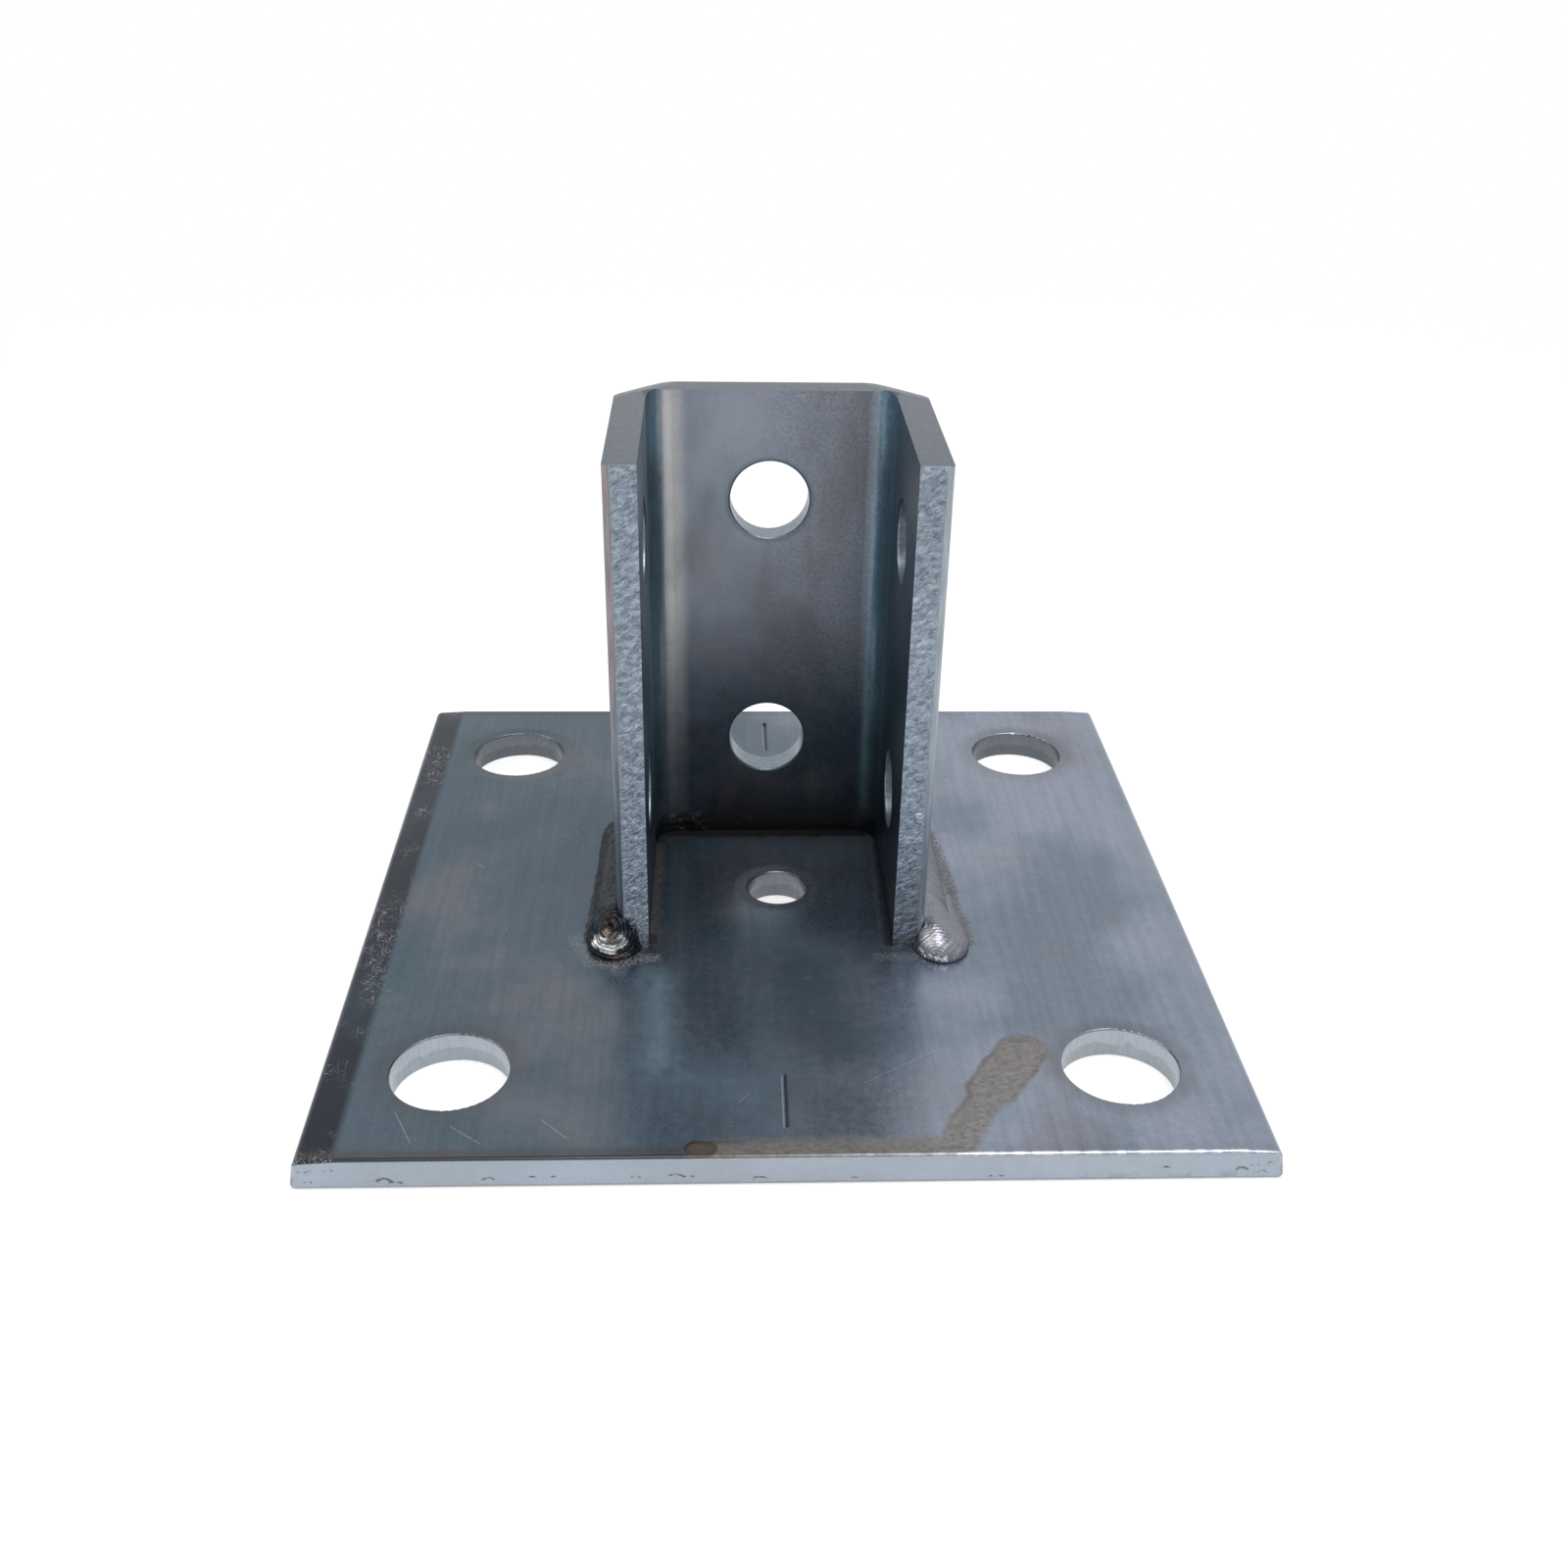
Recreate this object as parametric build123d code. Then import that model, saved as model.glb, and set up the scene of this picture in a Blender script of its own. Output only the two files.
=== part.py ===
from build123d import *
import os

# Strut post base: a square base plate with a folded channel welded upright on it.
# A length of strut stands in the channel and is bolted through its web and legs.
# Millimetres, +Z up. The origin is the middle of the plate's underside, and the
# channel opens towards -Y.

# Base plate, sheared to length from rolled flat bar. Its rolled edges face left and right.
plate_width = 150.0       # across the rolled edges, at half thickness
plate_depth = 150.0       # between the two sheared ends
plate_thickness = 5.5
rolled_slope = 0.9        # how much wider the bar is at the bottom than at the top
rolled_top_round = 1.3
rolled_bottom_round = 0.9
margin_width = 6.5        # sloped border along each rolled edge
margin_drop = 0.4
shear_round = 0.6         # drawn-in top edge of each sheared end

# Punched holes of the base plate
base_hole_spacing_x = 108.0
base_hole_spacing_y = 108.0
base_hole_radius = 9.5
centre_hole_radius = 5.5
base_rim_round = 0.35

# Centre marks: one short groove near each sheared end
mark_length = 13.0
mark_end_gap = 6.5
mark_width = 1.0
mark_depth = 0.4
mark_shift_x = -0.7

# The strut that the channel takes, and where its middle stands on the plate
strut_size = 41.3
side_gap = 1.1            # between the strut and each leg
post_shift_x = -1.7
post_shift_y = 0.6

# Post channel, folded from plate
post_thickness = 5.5
post_height = 89.0
inner_bend_radius = 4.5
front_edge_round = 1.2    # drawn-in outer edge of each leg's sheared front
top_edge_round = 0.2

# Folding draws the outer rim of each bend down and pushes its inner rim up
bend_dip = 0.8
bend_dip_reach = 4.0
bend_bulge = 0.5
bend_bulge_reach = 2.1
bend_bulge_inset = 0.2    # middle of the bulge, in from the inner face

# Bolt holes of the post, two in the web and two in each leg
bolt_hole_radius = 7.15
bolt_rim_round = 0.45
bolt_pitch = 48.0
lower_bolt_height = 21.0  # above the plate's top

# Weld beads: a fillet along each leg's foot, with a swell where it runs round the front corner
left_toe = 5.4
left_rise = 4.8
left_swell_radii = (5.2, 6.2, 8.0)
left_swell_out = 0.5      # middle of the swell, out from the leg's outer face
left_swell_back = 2.4     # and behind its front
right_toe = 6.2
right_rise = 4.8
right_swell_radii = (5.2, 6.4, 5.4)
right_swell_out = 3.2
right_swell_back = 1.0
bead_crown = 0.06         # how far the bead's face stands out, as a share of toe and rise
bead_wrap_angle = 42.0    # how far the bead follows the bend at the back
bead_tail_angle = 120.0   # its rounded tail, turned on until it is inside the post's wall

# Cutters run past what they cut by this much
overrun = 5.0

# Sizes that follow from the ones above
inner_width = strut_size + 2 * side_gap
outer_width = inner_width + 2 * post_thickness
outer_bend_radius = inner_bend_radius + post_thickness
front_y = -strut_size / 2
web_inner_y = strut_size / 2
web_outer_y = web_inner_y + post_thickness
bend_centre_x = inner_width / 2 - inner_bend_radius
bend_centre_y = web_inner_y - inner_bend_radius
bolt_heights = (lower_bolt_height, lower_bolt_height + bolt_pitch)
post_place = Pos(post_shift_x, post_shift_y, plate_thickness)


def hole_tool(radius, depth, rim_round):
    """Cutter for a punched hole from z = 0 to z = depth, with both of its rims rounded."""
    rim = radius + rim_round
    low = CenterArc((rim, rim_round), rim_round, 180, 90)
    high = CenterArc((rim, depth - rim_round), rim_round, 90, 90)
    wall = Line((radius, rim_round), (radius, depth - rim_round))
    outside = Polyline((rim, 0), (rim, -overrun), (0, -overrun),
                       (0, depth + overrun), (rim, depth + overrun), (rim, depth))
    return revolve(Plane.XZ * make_face(low + wall + high + outside), Axis.Z)


# The base plate

def bar_profile():
    """End view of the flat bar: sloping sides, rounded corners and a shallow border along each edge."""
    bottom_x = (plate_width + rolled_slope) / 2
    top_x = (plate_width - rolled_slope) / 2
    right = [(bottom_x, 0), (top_x, plate_thickness - margin_drop), (top_x - margin_width, plate_thickness)]
    left = [(-x, z) for x, z in reversed(right)]
    profile = make_face(Polyline(*right, *left, close=True))
    profile = fillet(profile.vertices().group_by(Axis.Y)[1], rolled_top_round)
    return fillet(profile.vertices().group_by(Axis.Y)[0], rolled_bottom_round)


def mark_tool():
    """V-shaped groove along Y, with its mouth at z = 0."""
    half = mark_width / 2
    wedge = Polyline((-half, 0), (0, -mark_depth), (half, 0), (half, overrun), (-half, overrun), close=True)
    return extrude(Plane.XZ * make_face(wedge), mark_length / 2, both=True)


def base_plate():
    plate = extrude(Plane.XZ * bar_profile(), plate_depth / 2, both=True)
    end_edges = plate.faces().filter_by(Axis.Y).edges()
    plate = fillet(end_edges.filter_by(lambda edge: edge.center().Z > rolled_bottom_round), shear_round)
    corner_tool = hole_tool(base_hole_radius, plate_thickness, base_rim_round)
    plate -= GridLocations(base_hole_spacing_x, base_hole_spacing_y, 2, 2) * corner_tool
    plate -= hole_tool(centre_hole_radius, plate_thickness, base_rim_round)
    mark_y = (plate_depth - mark_length) / 2 - mark_end_gap
    for y in (-mark_y, mark_y):
        plate -= Pos(mark_shift_x, y, plate_thickness) * mark_tool()
    return plate


# The post, drawn about the strut's middle with its foot at z = 0

def channel_section():
    """Plan view of the folded channel, open towards -Y."""
    depth = web_outer_y - front_y
    outer = Pos(0, web_outer_y - depth / 2) * Rectangle(outer_width, depth)
    outer = fillet(outer.vertices().group_by(Axis.Y)[-1], outer_bend_radius)
    outer = fillet(outer.vertices().group_by(Axis.Y)[0], front_edge_round)
    room = web_inner_y - front_y + overrun
    inner = Pos(0, web_inner_y - room / 2) * Rectangle(inner_width, room)
    inner = fillet(inner.vertices().group_by(Axis.Y)[-1], inner_bend_radius)
    return outer - inner


def bend_top(side):
    """Frame at a bend's top, on the bend's own axis, with X pointing out through the middle of the bend."""
    return Pos(side * bend_centre_x, bend_centre_y, post_height) * Rot(0, 0, 90 - side * 45)


def dip_tool():
    """Cutter that rolls a bend's outer rim down, starting level inside the rim."""
    start = outer_bend_radius - bend_dip_reach
    roll = (bend_dip_reach ** 2 + bend_dip ** 2) / (2 * bend_dip)
    far = outer_bend_radius + overrun
    disc = Pos(start, -roll) * Circle(roll)
    block = Pos((start + far) / 2, (overrun - bend_dip) / 2) * Rectangle(far - start, overrun + bend_dip)
    return extrude(Plane.XZ * (block - disc), far, both=True)


def bulge(section):
    """Low domes on the inner rims of both bends, cut off flush with the inner face."""
    radius = (bend_bulge_reach ** 2 + bend_bulge ** 2) / (2 * bend_bulge)
    middle = inner_bend_radius + bend_bulge_inset
    domes = [bend_top(side) * Pos(middle, 0, bend_bulge - radius) * Sphere(radius) for side in (-1, 1)]
    return extrude(section, post_height + bend_bulge) & (domes[0] + domes[1])


def post_channel():
    section = channel_section()
    post = extrude(section, post_height)
    rim = post.faces().sort_by(Axis.Z)[-1].outer_wire().edges()
    outer_rim = rim.filter_by(lambda edge: abs(edge.center().X) > inner_width / 2 or edge.center().Y > web_inner_y)
    post = fillet(outer_rim, top_edge_round)
    for side in (-1, 1):
        post -= bend_top(side) * dip_tool()
    post += bulge(section)
    tool = hole_tool(bolt_hole_radius, post_thickness, bolt_rim_round)
    for height in bolt_heights:
        post -= Pos(0, web_inner_y, height) * Rot(-90, 0, 0) * tool
        for side in (-1, 1):
            post -= Pos(side * inner_width / 2, 0, height) * Rot(0, side * 90, 0) * tool
    return post


# The weld beads, drawn for the right leg and mirrored for the left

def bead_section(toe, rise):
    """Fillet against a wall at x = 0, with a slightly full face."""
    share = 0.5 + bead_crown
    face = ThreePointArc((toe, 0), (toe * share, rise * share), (0, rise))
    return Plane.XZ * make_face(Polyline((0, rise), (0, 0), (toe, 0)) + face)


def weld_bead(post, toe, rise, swell_radii, swell_out, swell_back):
    section = bead_section(toe, rise)
    wall_x = outer_width / 2
    run = Pos(wall_x, front_y) * extrude(section, front_y - bend_centre_y)
    bend = Pos(bend_centre_x, bend_centre_y)
    wrap = bend * revolve(Pos(outer_bend_radius) * section, Axis.Z, bead_wrap_angle)
    tail = bend * Rot(0, 0, bead_wrap_angle) * Pos(outer_bend_radius) * revolve(section, Axis.Z, bead_tail_angle)
    swell = Pos(wall_x + swell_out, front_y + swell_back) * scale(Sphere(1), by=swell_radii)
    above = Pos(0, 0, post_height / 2) * Box(4 * outer_width, 4 * outer_width, post_height)
    return ((run + wrap + tail + swell) & above) - post


post = post_channel()
left = weld_bead(post, left_toe, left_rise, left_swell_radii, left_swell_out, left_swell_back)
right = weld_bead(post, right_toe, right_rise, right_swell_radii, right_swell_out, right_swell_back)

nodes = {
    "base_plate": base_plate(),
    "post_channel": post_place * post,
    "left_weld_bead": post_place * mirror(left, Plane.YZ),
    "right_weld_bead": post_place * right,
}

os.makedirs("parts", exist_ok=True)
for name, shape in nodes.items():
    export_step(shape, "parts/" + name + ".step")
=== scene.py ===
"""Dresses the strut post base: zinc plated steel, torn edges, weld beads and a plain studio."""
import math
import random

import bmesh
import bpy
from mathutils import Matrix, Vector, noise


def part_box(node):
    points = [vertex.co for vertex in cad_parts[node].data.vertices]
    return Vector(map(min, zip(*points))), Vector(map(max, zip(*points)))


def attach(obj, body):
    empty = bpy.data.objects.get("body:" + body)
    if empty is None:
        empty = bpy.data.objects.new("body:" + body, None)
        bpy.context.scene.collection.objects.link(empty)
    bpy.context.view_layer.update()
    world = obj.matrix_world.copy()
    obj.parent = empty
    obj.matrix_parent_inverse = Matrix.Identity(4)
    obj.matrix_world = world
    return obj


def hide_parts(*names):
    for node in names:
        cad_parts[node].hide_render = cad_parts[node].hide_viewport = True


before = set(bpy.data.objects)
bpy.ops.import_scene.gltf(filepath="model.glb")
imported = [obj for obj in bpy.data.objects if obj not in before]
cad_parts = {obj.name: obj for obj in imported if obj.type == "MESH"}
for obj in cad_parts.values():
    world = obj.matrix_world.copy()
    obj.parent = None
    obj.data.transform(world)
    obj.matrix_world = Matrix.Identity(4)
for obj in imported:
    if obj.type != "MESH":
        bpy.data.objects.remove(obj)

bl_info = {
    "name": "Strut post base",
    "version": (1, 0, 0),
    "blender": (4, 5, 0),
    "location": "3D View > Sidebar > Post base",
    "description": "Plated steel, torn edges, weld beads and a studio for the strut post base",
    "category": "Object",
}

MM = 0.001
X, Y, Z = 0, 1, 2
AXES = (Vector((1, 0, 0)), Vector((0, 1, 0)), Vector((0, 0, 1)))

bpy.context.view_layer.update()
plate_low, plate_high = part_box("base_plate")
post_low, post_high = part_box("post_channel")
plate_top = plate_high.z

# The folded channel, as its box and stock thickness give it
stock = 5.5 * MM
inner_bend = 4.5 * MM
leg_left = post_low.x + stock       # inner faces of the legs and of the web
leg_right = post_high.x - stock
web_inner = post_high.y - stock
post_middle = (post_low.x + post_high.x) / 2

# Middle and radius of each hole of the plate, and the post's bolt holes, in millimetres
PLATE_HOLES = (*((x, y, 9.5) for x in (-54, 54) for y in (-54, 54)), (0, 0, 5.5))
BOLT_HEIGHTS = (26.5, 74.5)
BOLT_RADIUS = 7.15
BOLTS_Y = 0.6

# Linear colour of the painted highlight along the rounds where the plate's ends are drawn over
ROLLED_OVER = (0.5, 0.54, 0.58)


def srgb(red, green, blue):
    """A colour from its screen values, 0 to 255, as the linear numbers that Blender keeps."""
    shares = (value / 255 for value in (red, green, blue))
    return tuple(s / 12.92 if s <= 0.04045 else ((s + 0.055) / 1.055) ** 2.4 for s in shares)


def smooth_step(low, high, value):
    share = min(max((value - low) / (high - low), 0), 1)
    return share * share * (3 - 2 * share)


# Settings that a user may change

def colour(name, description, value):
    return bpy.props.FloatVectorProperty(
        name=name, description=description, default=srgb(*value), size=3, min=0, max=1, subtype="COLOR")


def length(name, description, value):
    return bpy.props.FloatProperty(
        name=name, description=description, default=value, min=0, unit="LENGTH", precision=5)


def share(name, description, value, high=1):
    return bpy.props.FloatProperty(
        name=name, description=description, default=value, min=0, max=high, subtype="FACTOR")


def angle(name, description, value):
    return bpy.props.FloatProperty(
        name=name, description=description, default=math.radians(value), unit="ROTATION", subtype="ANGLE")


class StageSettings(bpy.types.PropertyGroup):
    camera_place: bpy.props.FloatVectorProperty(
        name="Camera place", description="Where the camera stands", size=3, subtype="TRANSLATION",
        unit="LENGTH", default=(-0.011209, -0.266454, 0.175246))
    camera_pitch: angle("Pitch", "Turn downwards", 28.935)
    camera_yaw: angle("Yaw", "Turn to the left", -2.610)
    camera_roll: angle("Roll", "Tip sideways", -1.154)
    lens: bpy.props.FloatProperty(
        name="Lens", description="Focal length", default=38.297, min=1, unit="CAMERA")
    floor_colour: colour("Floor", "Colour of the floor", (250, 250, 250))
    floor_width: length("Floor width", "Side of the square floor", 24)
    floor_glow: share("Floor white", "Share of plain white seen in it", 0.62)
    sky_strength: bpy.props.FloatProperty(
        name="Sky", description="Strength of the light from all round", default=0.55, min=0)
    key_power: bpy.props.FloatProperty(
        name="Key light", description="Power of the lamp in front", default=11, min=0, unit="POWER")
    side_power: bpy.props.FloatProperty(
        name="Side light", description="Power of the lamp at the left", default=3, min=0, unit="POWER")


class SteelSettings(bpy.types.PropertyGroup):
    # The plate's two halves differ as a painted reflection: the right half is painted lighter than the left
    plate_left: colour("Plate, left", "Blue grey of the plate's left half", (80, 93, 104))
    plate_right: colour("Plate, right", "Lighter grey of the plate's right half", (134, 142, 157))
    # This colour is also painted shade: on the left bevel and in the chip hollows of the sheared ends
    plate_margin: colour("Rolled margin", "Dark border along the left rolled edge", (40, 43, 51))
    teal: colour("Teal tint", "Cool film in slow clouds", (52, 80, 90))
    # Painted reflection: light streaks within the post's reflection in front of the channel
    streak: colour("Teal streaks", "Light streaks in front of the channel", (104, 128, 140))
    # Painted reflection of the dark post in the plate, in front of the channel
    shadow: colour("Dark teal", "Darker film in front of the channel", (30, 42, 52))
    rose: colour("Rose tint", "Warm film in slow clouds", (126, 116, 120))
    # The pale tone of these walls is a painted reflection
    hole_wall: colour("Hole walls", "Pale punched walls of the plate", (162, 170, 178))
    bore_wall: colour("Bolt hole walls", "Punched walls of the post's holes", (126, 137, 146))
    # Real scratches, and also painted glints and highlights on crests, edges and a groove flank
    scratch: colour("Scratches", "Bare bright lines", (186, 190, 198))
    # The web's two greys make a painted shade, darker towards its foot
    web_upper: colour("Web, upper", "Warm grey near the top of the web", (123, 129, 140))
    web_lower: colour("Web, lower", "Dark grey near the foot of the web", (57, 63, 74))
    # The bend colours are painted: a painted highlight down the left inner bend, a teal painted reflection in
    # the bends
    left_bend: colour("Left bend", "Pale strip down the left inner bend", (196, 193, 190))
    right_bend: colour("Right bend", "Teal of the inner bends", (138, 168, 184))
    # Painted shade and reflection inside the legs
    leg_inner: colour("Legs, inner", "Dark teal inside the legs", (62, 86, 103))
    leg_outer: colour("Legs, outer", "Grey outside the legs", (112, 119, 130))
    # The top's darker grey is painted shade; the pale rounds below are a painted highlight
    post_top: colour("Post top", "Grey of the sheared top", (80, 88, 99))
    front_round: colour("Front rounds", "Pale round beside the leg fronts", (150, 160, 168))
    # The pale torn tone is partly a painted reflection; the hollows' colour below is painted shade
    torn: colour("Torn steel", "Bright torn metal of the leg fronts", (150, 162, 175))
    torn_dark: colour("Torn steel, hollows", "Hollows of the torn metal", (104, 117, 130))
    # The pale tone of the sheared ends is a painted reflection
    sheared: colour("Sheared ends", "Smooth pale ends of the plate", (160, 169, 180))
    # Also laid round the plate's holes as painted shade
    brown: colour("Heat tint", "Brown film beside the welds", (78, 71, 68))
    rust: colour("Rough band", "Grey brown metal along the left leg", (96, 88, 88))
    # Also painted shade: along the beads' toes and flanks, in the channel's inner corners and on a groove flank
    soot: colour("Soot", "Dark film beside the welds", (14, 13, 16))
    dust: colour("Dust", "Pale dust in front of the welds", (138, 131, 135))
    stain: colour("Stain", "Dried grey brown film on the plate", (101, 94, 86))
    stain_edge: colour("Stain edge", "Darker rim of the dried film", (58, 50, 44))
    metallic: share("Metallic", "Metallic share of the plating", 0.88)
    roughness: share("Roughness", "Roughness of the plating", 0.27)


class TearSettings(bpy.types.PropertyGroup):
    pitch: length("Grid", "Step of the fine grid on torn faces", 0.27 * MM)
    depth: length("Tear depth", "Depth of the torn metal on the leg fronts", 0.34 * MM)
    burnish: length("Smooth strip", "Smooth strip beside the outer face", 1.3 * MM)
    chip_depth: length("Chip depth", "Depth of the arcs torn out of the plate's ends", 0.3 * MM)
    root_height: length("Root ripples", "Height of the wavy metal at the web's foot", 5.6 * MM)
    root_relief: length("Root relief", "How far that metal stands out", 0.42 * MM)


class WeldSettings(bpy.types.PropertyGroup):
    voxel: length("Grid", "Step of the fine mesh of the beads", 0.26 * MM)
    left_pitch: length("Left ripple pitch", "From ripple to ripple", 1.7 * MM)
    left_ripple: length("Left ripple", "Height of those ripples", 0.1 * MM)
    left_lumps: length("Left lumps", "Height of the left bead's uneven metal", 0.26 * MM)
    right_pitch: length("Right ripple pitch", "From ripple to ripple", 0.85 * MM)
    right_ripple: length("Right ripple", "Height of those ripples", 0.03 * MM)
    right_lumps: length("Right lumps", "Height of the right bead's uneven metal", 0.08 * MM)
    left_colour: colour("Left bead", "Dark metal of the left bead", (34, 40, 48))
    right_colour: colour("Right bead", "Silvery metal of the right bead", (120, 121, 130))
    bronze: colour("Crater", "Bronze film in the crater", (108, 90, 80))
    # Laid on the beads as painted highlights and glints
    bright: colour("Bare metal", "Bright metal where the bead ends", (234, 230, 227))


# Mesh work

def merged_copy(node):
    """Editable copy of a CAD node's mesh with its seams closed."""
    bm = bmesh.new()
    bm.from_mesh(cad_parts[node].data)
    bmesh.ops.remove_doubles(bm, verts=bm.verts, dist=0.001 * MM)
    return bm


def flat_end(bm, axis, place):
    """The faces on a plane square to an axis, each as one face."""
    faces = [face for face in bm.faces
             if abs(face.normal[axis]) > 0.9999 and abs(face.calc_center_median()[axis] - place) < 0.01 * MM]
    if not faces:
        raise RuntimeError("there is no flat end to tear")
    return bmesh.ops.dissolve_faces(bm, faces=faces)["region"]


def slice_faces(bm, faces, axis, place):
    """Cuts some faces where a plane square to an axis meets them, and returns all of their parts."""
    edges = dict.fromkeys(edge for face in faces for edge in face.edges)
    cut = bmesh.ops.bisect_plane(bm, geom=[*verts_of(faces), *edges, *faces], dist=0.002 * MM,
                                 plane_co=AXES[axis] * place, plane_no=AXES[axis])
    return [part for part in cut["geom"] if isinstance(part, bmesh.types.BMFace)]


def slice_evenly(bm, faces, axis, low, high, pitch):
    steps = max(1, round((high - low) / pitch))
    for step in range(1, steps):
        faces = slice_faces(bm, faces, axis, low + (high - low) * step / steps)
    return faces


def finish_mesh(bm, name, fine, materials):
    """Turns the edited mesh into a piece: smooth but for real edges, the fine faces in the second material."""
    fine = set(fine)
    bmesh.ops.recalc_face_normals(bm, faces=bm.faces)
    for face in bm.faces:
        face.smooth = True
        face.material_index = 1 if face in fine else 0
    for edge in bm.edges:
        parts = edge.link_faces
        if len(parts) == 2:
            inside = parts[0] in fine and parts[1] in fine
            edge.smooth = inside or edge.calc_face_angle() < math.radians(32)
    mesh = bpy.data.meshes.new(name)
    bm.to_mesh(mesh)
    bm.free()
    for material in materials:
        mesh.materials.append(material)
    piece = new_object(name, mesh)
    weighted = piece.modifiers.new("even shading", "WEIGHTED_NORMAL")
    weighted.keep_sharp = True
    weighted.weight = 50
    return piece


def new_object(name, data):
    """A new object, in the scene."""
    made = bpy.data.objects.new(name, data)
    bpy.context.scene.collection.objects.link(made)
    return made


def verts_of(faces):
    return dict.fromkeys(vert for face in faces for vert in face.verts)


def rough(place, scale, octaves=3):
    """Fractal noise of about -1 to 1, with features of the given size."""
    return noise.fractal(place / scale, 1, 2, octaves)


# Materials

class Graph:
    """Adds nodes to a shader tree and wires them."""

    def __init__(self, tree):
        self.tree = tree
        self.tree.nodes.clear()

    def feed(self, socket, value):
        if isinstance(value, bpy.types.NodeSocket):
            self.tree.links.new(value, socket)
        else:
            socket.default_value = (*value, 1) if socket.type == "RGBA" else value

    def add(self, kind, inputs=None, **settings):
        node = self.tree.nodes.new(kind if kind.startswith("NodeGroup") else "ShaderNode" + kind)
        for name, value in settings.items():
            setattr(node, name, value)
        for name, value in (inputs or {}).items():
            if value is not None:
                self.feed(node.inputs[name], value)
        return node

    def math(self, operation, first, second=None, third=None, clamp=False):
        return self.add("Math", {0: first, 1: second, 2: third},
                        operation=operation, use_clamp=clamp).outputs[0]

    def times(self, first, *others):
        for other in others:
            first = self.math("MULTIPLY", first, other)
        return first

    def times_add(self, first, second, third):
        return self.math("MULTIPLY_ADD", first, second, third)

    def less(self, first, second):
        return self.math("SUBTRACT", first, second)

    def highest(self, first, second):
        return self.math("MAXIMUM", first, second)

    def size(self, value):
        """The value without its sign."""
        return self.math("ABSOLUTE", value)

    def swayed(self, value, wave, reach):
        """A value pushed both ways by a noise, by up to half the reach."""
        return self.times_add(self.less(wave, 0.5), reach, value)

    def vector(self, operation, first, second=None, scale=None):
        node = self.add("VectorMath", {0: first, 1: second, 3: scale}, operation=operation)
        return node.outputs["Value"] if operation in ("LENGTH", "DOT_PRODUCT", "DISTANCE") else node.outputs[0]

    def scaled(self, first, scale):
        return self.vector("SCALE", first, scale=scale)

    def joined(self, x, y, z):
        return self.add("CombineXYZ", {0: x, 1: y, 2: z}).outputs[0]

    def split(self, place):
        return self.add("SeparateXYZ", {0: place}).outputs

    def turned(self, place, turn, axis):
        return self.add("VectorRotate", {"Vector": place, "Angle": turn}, rotation_type=axis).outputs[0]

    def mix(self, factor, first, second):
        """Mixes two colours, which stay vectors until they reach the shader."""
        return self.add("Mix", {0: factor, 4: first, 5: second}, data_type="VECTOR").outputs[1]

    def step(self, value, low, high, out_low=0, out_high=1):
        """Smooth step from out_low to out_high while value goes from low to high."""
        node = self.add("MapRange", {0: value, 1: low, 2: high, 3: out_low, 4: out_high},
                        interpolation_type="SMOOTHSTEP", clamp=True)
        return node.outputs[0]

    def fall(self, value, low, high):
        return self.step(value, low, high, 1, 0)

    def vary(self, wave, low, high):
        """A noise as a factor from low to high."""
        return self.step(wave, 0.3, 0.7, low, high)

    def noise(self, place, scale, detail=3, roughness=0.55, stretch=None, distortion=0):
        if stretch is not None:
            place = self.vector("MULTIPLY", place, stretch)
        node = self.add("TexNoise", {"Vector": place, "Scale": scale, "Detail": detail,
                                               "Roughness": roughness, "Distortion": distortion})
        return node.outputs["Fac"]


FLOAT, VECTOR = "NodeSocketFloat", "NodeSocketVector"


def new_group(name, inputs, outputs):
    """A shader node group with named inputs and outputs: its graph and its input sockets."""
    tree = bpy.data.node_groups.new(name, "ShaderNodeTree")
    tree.interface.new_socket(name="Place", in_out="INPUT", socket_type=VECTOR)
    for socket_name, value in inputs.items():
        kind = VECTOR if value is None else FLOAT
        socket = tree.interface.new_socket(name=socket_name, in_out="INPUT", socket_type=kind)
        if value is not None:
            socket.default_value = value
    for socket_name in outputs:
        tree.interface.new_socket(name=socket_name, in_out="OUTPUT", socket_type=FLOAT)
    graph = Graph(tree)
    return graph, graph.add("NodeGroupInput").outputs


def patch_group(name):
    """Mask of a patch round the line from one point to another, with a wobbly rim. Millimetres."""
    g, given = new_group(
        name, {"From": None, "To": None, "Radius": 2, "Softness": 0.5, "Wobble": 0, "Wobble Scale": 0.4},
        ("Mask", "Distance"))
    reach = g.vector("SUBTRACT", given["Place"], given["From"])
    line = g.vector("SUBTRACT", given["To"], given["From"])
    length_squared = g.highest(g.vector("DOT_PRODUCT", line, line), 0.0001)
    along = g.math("DIVIDE", g.vector("DOT_PRODUCT", reach, line), length_squared, clamp=True)
    aside = g.vector("LENGTH", g.vector("SUBTRACT", reach, g.scaled(line, along)))
    wave = g.noise(given["Place"], given["Wobble Scale"], 3)
    distance = g.less(g.swayed(aside, wave, given["Wobble"]), given["Radius"])
    inside = g.math("DIVIDE", g.times(distance, -1), given["Softness"])
    g.add("NodeGroupOutput", {"Mask": g.step(inside, -1, 1), "Distance": distance})
    return g.tree


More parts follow.
